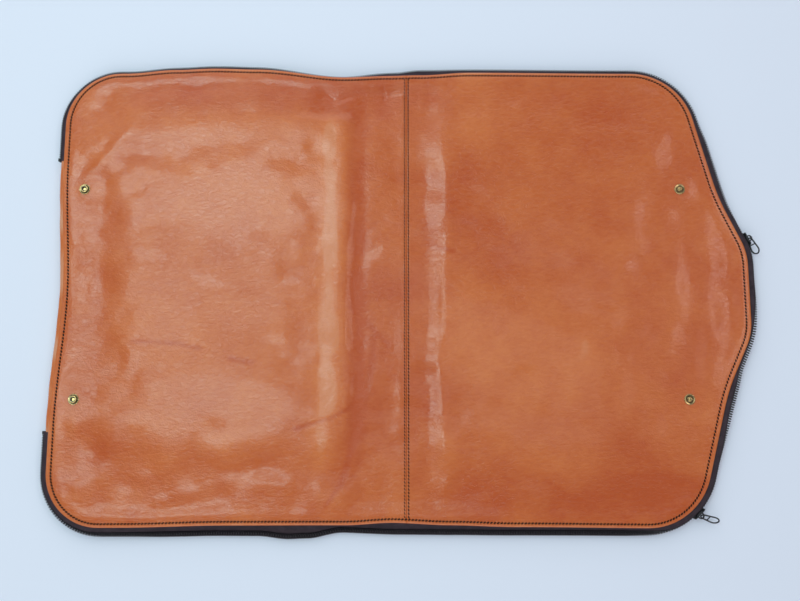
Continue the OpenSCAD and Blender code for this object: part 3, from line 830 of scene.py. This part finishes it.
# Woven polyester tape: a fine ribbed weave, dyed near black-brown, matt with a faint sheen.
# The ribs are drawn about twice their real spacing, or they wouldn't show.
weave, weave_shader = new_material("woven_polyester_tape")
on_tape = add_node(weave, "ShaderNodeTexCoord")["Object"]
thread_mm = 1.1
dust_mm = 6
ribs = add_node(weave, "ShaderNodeTexVoronoi", {"distance": "CHEBYCHEV"}, Vector=on_tape,
                Scale=cells_per_metre(thread_mm), Randomness=0.25)["Distance"]
dust = add_node(weave, "ShaderNodeTexNoise", Vector=on_tape, Scale=cells_per_metre(dust_mm), Detail=4.0)
shade = add_node(weave, "ShaderNodeMath", {"operation": "MULTIPLY_ADD"}, _0=dust["Fac"], _1=0.7, _2=ribs)[0]
colour = add_node(weave, "ShaderNodeMix", {"data_type": "RGBA"},
                  _0=shade, _6=hex_colour("#54464f"), _7=hex_colour("#261f26"))[2]
link(colour, weave_shader.inputs["Base Color"])
bump = add_node(weave, "ShaderNodeBump", {"invert": True}, Strength=0.6, Distance=0.2 * MM, Height=ribs)
link(bump["Normal"], weave_shader.inputs["Normal"])
weave_shader.inputs["Roughness"].default_value = 0.8
weave_shader.inputs["Specular IOR Level"].default_value = 0.25

for side, face in ((1, "front"), (-1, "back")):
    tape = sweep(f"zip_tape_{face}", tape_steps, tape_ring(tape_steps, side)[::side], [weave])
    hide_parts(f"zip_tape_{face}_left", f"zip_tape_{face}_nose")
    bend(tape)

# Zip teeth: a nylon coil along the edge of each tape, whose turns lock into the other coil's.
# Between the sliders the coils are apart, and the mouth of the case stands open.
tooth_pitch = 2.4
turn_points = 8
wire_sides = 5
coil_wire = 0.8
coil_out = row_thick / 2 - coil_wire
coil_up = row_height / 2 - coil_wire


def coil_points(side):
    """Points of the coil's wire, and the middle of the coil beside each."""
    turns = int((zip_last - zip_first) / tooth_pitch)
    k = np.arange(turns * turn_points + 1)
    part = k % turn_points / turn_points
    turn = k // turn_points + eased((part - 0.4) / 0.2)
    s = zip_first + (zip_last - zip_first) * turn / turns
    phase = 2 * math.pi * part
    row_out, row_z, lean = chain_section(s, side)
    extra = through_knots(s, row_extras)
    f, u = (coil_out + extra / 2) * np.cos(phase) - extra / 2, coil_up * np.sin(phase)
    out = row_out + f * np.cos(lean) - u * np.sin(lean)
    height = row_z + f * np.sin(lean) + u * np.cos(lean)
    middle = place(s, row_out - extra / 2 * np.cos(lean), row_z - extra / 2 * np.sin(lean))
    return place(s, out, height), middle


def normalised(v):
    return v / np.maximum(np.linalg.norm(v, axis=-1, keepdims=True), 1e-9)


def add_wire(name, points, towards, radius, sides, materials):
    """A round wire along points; towards is a point beside each one, not in line with the wire."""
    ahead = normalised(np.gradient(points, axis=0))
    across = towards - points
    across = normalised(across - ahead * np.sum(across * ahead, -1, keepdims=True))
    other = np.cross(ahead, across)
    turn = 2 * math.pi * np.arange(sides)[:, None] / sides
    rings = points[:, None] + radius * (across[:, None] * np.cos(turn) + other[:, None] * np.sin(turn))
    return add_mesh(name, rings.reshape(-1, 3), tube_faces(len(points), sides), materials)


# Nylon monofilament: extruded, near black, smooth, with the soft gloss of plastic and a little dust.
nylon, nylon_shader, _, _ = speckled("black_nylon_coil", 9, "#0c0a10", "#2a262e", 5.0)
nylon_shader.inputs["Roughness"].default_value = 0.38
nylon_shader.inputs["IOR"].default_value = 1.53

for side, face in ((1, "front"), (-1, "back")):
    wire, middles = coil_points(side)
    coil = add_wire(f"zip_coil_{face}", wire, middles, coil_wire, wire_sides, [nylon])
    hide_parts(f"zip_chain_{face}_left", f"zip_chain_{face}_nose", f"mouth_teeth_{face}")
    bend(coil)

# Stitching: waxed brown thread, lockstitched by machine along every edge and in two rows at the seam.
# Each stitch is a short slanted length of thread that dips into the leather at both ends.
stitch_pitch = 3.3
stitch_length = 3.0
thread_radius = 0.76
stitch_slant = math.radians(28)
stitch_rings = 5
thread_sides = 6

# Waxed thread: twisted polyester, dark brown, with a dull wax shine.
thread, thread_shader, _, _ = speckled("waxed_brown_thread", 0.8, "#140803", "#3a1d0e", 3.0)
thread_shader.inputs["Roughness"].default_value = 0.75
thread_shader.inputs["Specular IOR Level"].default_value = 0.2


def add_stitches(name, x, y, direction, height, outward, radius=thread_radius):
    """One mesh of stitches at places x, y on the cut, along direction, on a surface at height."""
    t = np.linspace(-1, 1, stitch_rings)[:, None]
    arch = 0.2 - 0.55 * t**4
    girth = radius * np.array([0.55, 1, 1.08, 1, 0.55])[:, None]
    turn = 2 * math.pi * np.arange(thread_sides) / thread_sides
    along = t * stitch_length / 2
    across = girth * np.cos(turn)
    rise = (arch + girth * np.sin(turn)) * outward
    heading = (direction + stitch_slant)[:, None, None]
    c, s = np.cos(heading), np.sin(heading)
    px = x[:, None, None] + along * c - across * s
    py = y[:, None, None] + along * s + across * c
    lx, ly = lay(px, py)
    points = np.stack([lx, ly, height[:, None, None] + rise], -1)
    count = stitch_rings * thread_sides
    one = tube_faces(stitch_rings, thread_sides)
    if outward < 0:
        one = [face[::-1] for face in one]
    faces = [[v + k * count for v in face] for k in range(len(x)) for face in one]
    return add_mesh(name, points.reshape(-1, 3), faces, [thread])


stitch_runs = np.arange(0, edge_total, stitch_pitch)
ex, ey, ea = edge_at(stitch_runs)
# The seam runs closer to the edge along the top and bottom than down the sides
least_inset = 3.6
side_inset = 5.2
stitch_inset = least_inset + (side_inset - least_inset) * np.cos(ea) ** 2
sx, sy = ex - stitch_inset * np.cos(ea), ey - stitch_inset * np.sin(ea)
front_stitches = add_stitches("edge_stitches_front", sx, sy, ea - math.pi / 2, front_height(sx, sy), 1)
bend(front_stitches)
sx, sy = ex - back_stitch_inset * np.cos(ea), ey - back_stitch_inset * np.sin(ea)
back_stitches = add_stitches("edge_stitches_back", sx, sy, ea - math.pi / 2,
                             back_height(sx, sy, back_stitch_inset), -1)
bend(back_stitches)
row_y = np.arange(-half_height + 6, half_height - 5, stitch_pitch)
seam_rows = (("seam_stitches_left", -1.9, 0.42), ("seam_stitches_right", 1.9, 0.54))
for name, offset, girth in seam_rows:
    qx = np.full(row_y.shape, seam_x + offset)
    seam_row = add_stitches(name, qx, row_y, np.full(row_y.shape, math.pi / 2), front_height(qx, row_y), 1,
                            radius=girth)
    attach(seam_row, "nose_half")

# Press studs: stamped brass, two sprung sockets on the left half and two studs on the nose half.
# Each is riveted through the leather, and the rivet's cap is inside the case.
snap_radius = (socket_high[0] - socket_low[0]) / 2
lathe_steps = 64


def turned(name, profile, places, shaded_bands, material):
    """Round pieces turned from a profile [(radius, height), ...] at each place, painted shade low between
    radii.
    """
    a = 2 * math.pi * np.arange(lathe_steps) / lathe_steps
    r, z = np.array(profile).T[:, :, None]
    points = [np.stack([px + r * np.cos(a), py + r * np.sin(a), front_z + z + 0 * a], -1)
              for px, py in places]
    size = len(profile) * lathe_steps
    round_faces = np.array(grid_faces(len(profile) + 1, lathe_steps, wrap=True)) % size
    faces = np.vstack([round_faces + size * k for k in range(len(places))]).tolist()
    obj = add_mesh(name, np.reshape(points, (-1, 3)), faces, [material])
    obj.data.set_sharp_from_angle(angle=math.radians(48))
    # Painted shade: dark brown low down in the recesses between the given radii
    low_down = z < 0.6 * z.max()
    recess_shade = np.max([amount * low_down * (low < r) * (r < high) for low, high, amount in shaded_bands], 0)
    add_values(obj, "hollow", np.tile(np.repeat(recess_shade, lathe_steps), len(places)))
    return obj


def rounded(corners, radius, steps=4):
    """A profile whose corners are rounded off."""
    points = []
    loop = np.array(corners)
    for before, at, after in zip(np.roll(loop, 1, 0) - loop, loop, np.roll(loop, -1, 0) - loop):
        lengths = np.linalg.norm([before, after], axis=1)
        reach = min(radius, *(0.45 * lengths))
        p, q = at + before / lengths[0] * reach, at + after / lengths[1] * reach
        for t in np.linspace(0, 1, steps):
            points.append((1 - t) ** 2 * p + 2 * t * (1 - t) * at + t * t * q)
    return points


# Stamped brass: plated and then worn, yellow on the rims, with painted shade, dark brown, in the recesses and
# holes.
brass, brass_shader, tarnish, plated = speckled("stamped_brass", 3.0, "#8c6c34", "#f2daa4", 6.0, grit=0.65)
# The hollow values are painted shade for recesses and holes, mixed in as dark brown
hollow = add_node(brass, "ShaderNodeAttribute", {"attribute_name": "hollow"})["Fac"]
brass_with_painted_shade = add_node(brass, "ShaderNodeMix", {"data_type": "RGBA"},
                  _0=hollow, _6=plated, _7=hex_colour("#2c210c"))[2]
link(brass_with_painted_shade, brass_shader.inputs["Base Color"])
polish = add_node(brass, "ShaderNodeMapRange", Value=tarnish, To_Min=0.3, To_Max=0.12)[0]
link(polish, brass_shader.inputs["Roughness"])
brass_shader.inputs["Metallic"].default_value = 1.0

socket_height = socket_high[2] - front_z
barrel = 3.65
mouth = 2.6
groove = 3.05
socket_profile = rounded([
    (1.5, 0), (snap_radius - 0.35, 0), (snap_radius, 0.45), (snap_radius - 0.35, 1.0), (barrel + 0.4, 0.75),
    (barrel, 1.3), (barrel, socket_height), (mouth, socket_height), (mouth, socket_height - 0.6),
    (groove, socket_height - 0.6), (groove, 0.6), (1.5, 0.6),
], 0.3)
sockets = turned("press_stud_sockets", socket_profile, socket_places,
                 [(barrel - 0.1, barrel + 0.8, 0.9), (0, groove + 0.1, 0.9)], brass)
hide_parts("snap_sockets")
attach(sockets, "left_half")
stud_height = stud_high[2] - front_z
stud_profile = rounded([
    (1.5, 0), (snap_radius - 0.35, 0), (snap_radius, 0.4), (snap_radius - 0.5, 0.95), (3.1, 0.5),
    (2.1, 0.75), (1.7, 1.2), (1.7, stud_height - 1.0), (2.05, stud_height - 0.6),
    (1.65, stud_height), (0.5, stud_height), (0.5, 0.8), (1.5, 0.8),
], 0.25)
studs = turned("press_studs", stud_profile, stud_places,
               [(2.3, 3.6, 0.85), (0, 0.8, 1.0)], brass)
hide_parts("snap_studs")
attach(studs, "nose_half")

# Spring steel: drawn wire, grey and bright, with faint lines along it.
steel, steel_shader, _, _ = speckled("drawn_spring_steel", 0.6, "#7c7f84", "#c0c4ca", 2.0)
steel_shader.inputs["Metallic"].default_value = 1.0
steel_shader.inputs["Roughness"].default_value = 0.3


def dress(node, material):
    """Gives a CAD node its finish."""
    for slot in frame["nodes"][node].material_slots:
        slot.material = material


dress("socket_springs", steel)
dress("socket_rivets", brass)
dress("stud_rivets", brass)

# Sliders, pulls and end stops: die-cast zinc with a gunmetal finish, worn a little at the corners.
# Each slider straddles both coils, and its wire pull swings in the eye of its crown.
zinc, zinc_shader, wear, _ = speckled("gunmetal_zinc", 4.0, "#17191b", "#484c50", 6.0, grit=0.7)
dulled = add_node(zinc, "ShaderNodeMapRange", Value=wear, To_Min=0.6, To_Max=0.4)[0]
link(dulled, zinc_shader.inputs["Roughness"])
zinc_shader.inputs["Metallic"].default_value = 0.7


def rounded_copy(node, name, body, width):
    """A copy of a CAD casting with its edges rounded, which stands for it."""
    mesh = frame["nodes"][node].data.copy()
    mesh.name = name
    mesh.materials.clear()
    mesh.materials.append(zinc)
    obj = add_object(name, mesh)
    steps = [
        ("WELD", {"merge_threshold": 0.01 * MM}),
        ("DECIMATE", {"decimate_type": "DISSOLVE", "angle_limit": math.radians(2)}),
        ("BEVEL", {"width": width * MM, "segments": 3, "limit_method": "ANGLE",
                   "angle_limit": math.radians(30)}),
    ]
    for kind, settings in steps:
        modifier = obj.modifiers.new(kind, kind)
        for key, value in settings.items():
            setattr(modifier, key, value)
    final = bpy.data.meshes.new_from_object(obj.evaluated_get(bpy.context.evaluated_depsgraph_get()))
    obj.modifiers.clear()
    obj.data = final
    final.polygons.foreach_set("use_smooth", [True] * len(final.polygons))
    final.set_sharp_from_angle(angle=math.radians(40))
    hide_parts(node)
    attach(obj, body)
    return obj


rounded_copy("nose_slider", "nose_slider_casting", "nose_slider", 0.25)
rounded_copy("corner_slider", "corner_slider_casting", "corner_slider", 0.25)
rounded_copy("zip_end_stops", "zip_end_crimps", "left_half", 0.4)
dress("nose_pull", zinc)
dress("corner_pull", zinc)

# Table, light and camera: a pale table top, daylight from a large window up and to the left,
# and a camera held nearly straight above the case.
floor_half = 4000.0
floor_drop = -0.2
paper, paper_shader = new_material("pale_table_top")
paper_shader.inputs["Base Color"].default_value = hex_colour("#e4eefe")
paper_shader.inputs["Roughness"].default_value = 0.9
floor_points = [(floor_half * i, floor_half * j, floor_drop) for i, j in ((-1, -1), (1, -1), (1, 1), (-1, 1))]
floor = add_mesh("table_top", floor_points, [(0, 1, 2, 3)], [paper])

world = bpy.data.worlds.new("daylight")
world.use_nodes = True
sky = world.node_tree.nodes["Background"]
sky.inputs["Color"].default_value = hex_colour("#f1f6ff")
sky.inputs["Strength"].default_value = 0.355
scene.world = world


def add_window(name, place, target, size, watts, tint):
    """A soft area light, facing a point."""
    lamp = bpy.data.lights.new(name, "AREA")
    lamp.shape = "RECTANGLE"
    lamp.size, lamp.size_y = size
    lamp.energy = watts
    lamp.color = hex_colour(tint)[:3]
    obj = add_object(name, lamp)
    obj.location = place
    obj.rotation_euler = (Vector(target) - Vector(place)).to_track_quat("-Z", "Y").to_euler()


# Panes of the window and other bright places above the table: left, right, near and far edge, in
# metres, radiance and tint
daylight = "#dcfbf8"
bright_places = [
    (-0.935, -0.515, -0.165, -0.02, 6.1, daylight), (-0.845, -0.555, 0.05, 0.3, 3.2, daylight),
    (-0.865, -0.51, 0.38, 0.65, 6.1, daylight), (-0.53, -0.24, -0.205, -0.005, 6.1, daylight),
    (-0.47, -0.205, 0.17, 0.27, 2.8, daylight), (-0.51, -0.19, 0.35, 0.65, 6.1, daylight),
    (0.97, 1.26, -0.1, 0.735, 3.2, "#fff0ec"), (0.01, 0.605, -0.14, 0.255, 1.0, "#f4fbff"),
]
bright_height = 1.5
for left, right, near, far, radiance, tint in bright_places:
    x, y = (left + right) / 2, (near + far) / 2
    width, depth = right - left, far - near
    watts = radiance * math.pi * width * depth
    add_window("bright_place", (x, y, bright_height), (x, y, 0), (width, depth), watts, tint)
add_window("room_far", (-0.2, 2.0, 1.4), (0, 0, 0), (3.0, 1.8), 22, "#fff8f4")
add_window("room_near", (-0.2, -2.0, 1.4), (0, 0, 0), (3.0, 1.8), 21, "#fff8f4")

lens = bpy.data.cameras.new("camera")
lens.sensor_width = 36
lens.lens = 38.25
camera = add_object("camera", lens)
camera.location = (0.0181, -0.12935, 0.8533)
camera.rotation_euler = (math.radians(8.2), 0, 0)
scene.camera = camera
scene.view_settings.view_transform = "Standard"
